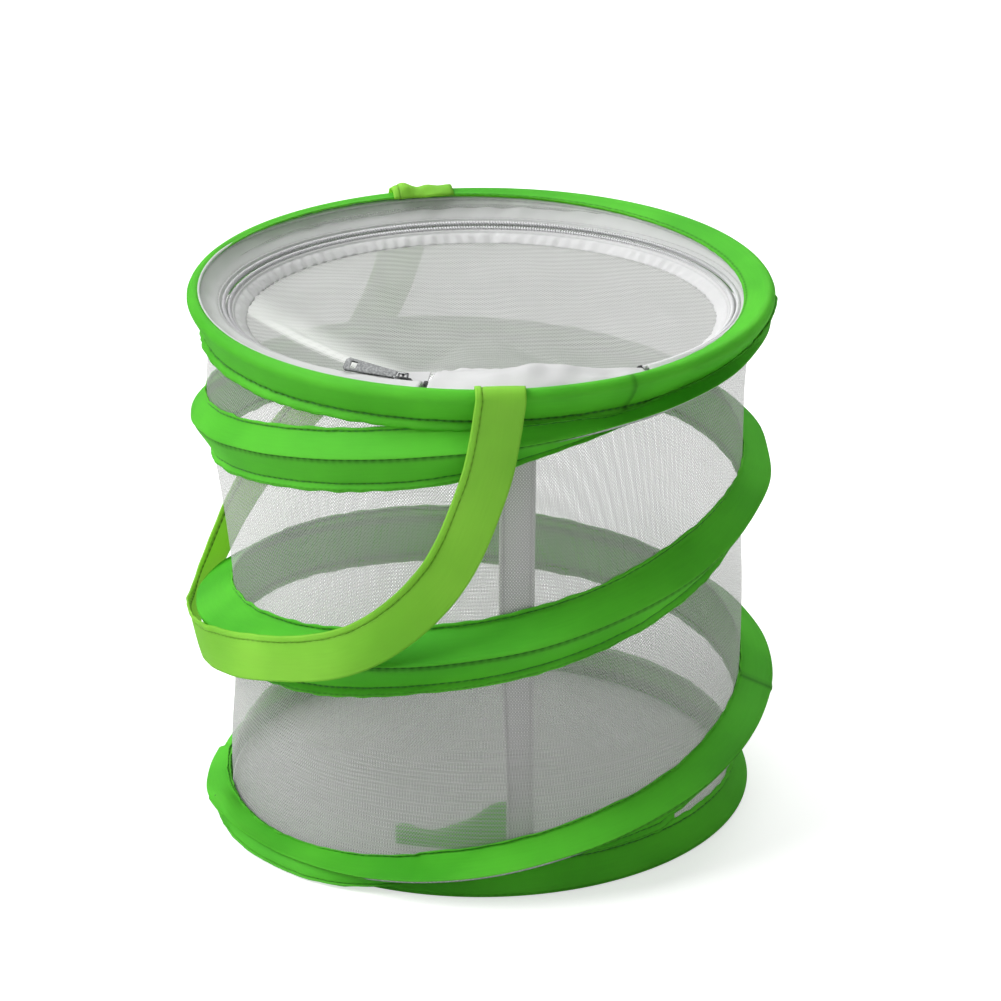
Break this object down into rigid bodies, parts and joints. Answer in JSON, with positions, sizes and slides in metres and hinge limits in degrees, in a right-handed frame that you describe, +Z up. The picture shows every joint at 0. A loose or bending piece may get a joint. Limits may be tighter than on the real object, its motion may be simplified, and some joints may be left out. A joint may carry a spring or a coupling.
{
  "type": "insect cage",
  "caption": "Pop-up round net cage on sprung wire hoops and a spiral in fabric casings, with a zipped net lid and a strap handle.",
  "frame": {"origin": "on the drum's axis at the underside of the floor panel, where the cage stands", "axes": "+Z up along the drum's axis, +X to the right and -Y to the front, where the lid stays sewn on; -Z is the standing face's normal"},
  "size_m": [0.3047, 0.3059, 0.2855],
  "materials": {
    "green_cloth": "woven polyester binding",
    "strap_cloth": "folded woven strap",
    "white_net": "fine knitted net",
    "white_tape": "woven tape",
    "white_coil": "nylon zip coil",
    "spring_steel": "sprung wire",
    "zip_metal": "dark grey lacquer",
    "cap_plastic": "moulded cap"
  },
  "bodies": {
    "base": {"bottom_hoop_wire": "spring_steel", "bottom_hoop_ferrule": "zip_metal", "bottom_binding": "green_cloth", "floor_panel": "white_tape", "net_wall": "white_net", "seam_tape": "white_tape", "joint_patch": "green_cloth", "spiral_wire": "spring_steel", "spiral_cap_bottom": "cap_plastic", "spiral_binding": "green_cloth"},
    "top": {"top_hoop_wire": "spring_steel", "top_hoop_ferrule": "zip_metal", "top_binding": "green_cloth", "spiral_cap_top": "cap_plastic", "zip_outer_tape": "white_tape", "zip_outer_coil": "white_coil", "zip_inner_coil_end": "white_coil", "zip_end_tape": "white_tape", "lid_gusset": "white_tape", "zip_stop_closed": "zip_metal", "zip_stop_open": "zip_metal", "handle_end_front": "strap_cloth", "handle_end_back": "strap_cloth"},
    "lid": {"lid_net": "white_net", "lid_edge_tape": "white_tape", "zip_inner_coil": "white_coil"},
    "slider": {"zip_slider": "zip_metal"},
    "pull_tab": {"zip_pull_tab": "zip_metal"},
    "handle": {"handle_strap": "strap_cloth"}
  },
  "joints": [
    {"name": "collapse", "type": "slide", "parent": "base", "child": "top", "axis": [0, 0, 1], "range_m": [-0.235, 0], "stiffness_N_per_m": 30, "springref_m": 0.08, "deforming": ["net_wall", "spiral_wire", "spiral_binding", "seam_tape", "joint_patch"]},
    {"name": "lid_hinge", "type": "hinge", "parent": "top", "child": "lid", "pos_m": [0.00385, -0.11013, 0.2746], "axis": [0.9994, 0.0349, 0], "range_deg": [0, 120]},
    {"name": "zip_run", "type": "hinge", "parent": "top", "child": "slider", "pos_m": [0, 0, 0.26925], "axis": [0, -0.0365, -0.9993], "range_deg": [0, 300]},
    {"name": "pull_hinge", "type": "hinge", "parent": "slider", "child": "pull_tab", "pos_m": [-0.03744, -0.12227, 0.27651], "axis": [0.1126, 0.7935, -0.5981], "range_deg": [0, 150]},
    {"name": "handle_swing", "type": "hinge", "parent": "top", "child": "handle", "pos_m": [0.01014, -0.15261, 0.277], "axis": [0.1607, -0.987, 0], "range_deg": [-135, 0]}
  ]
}
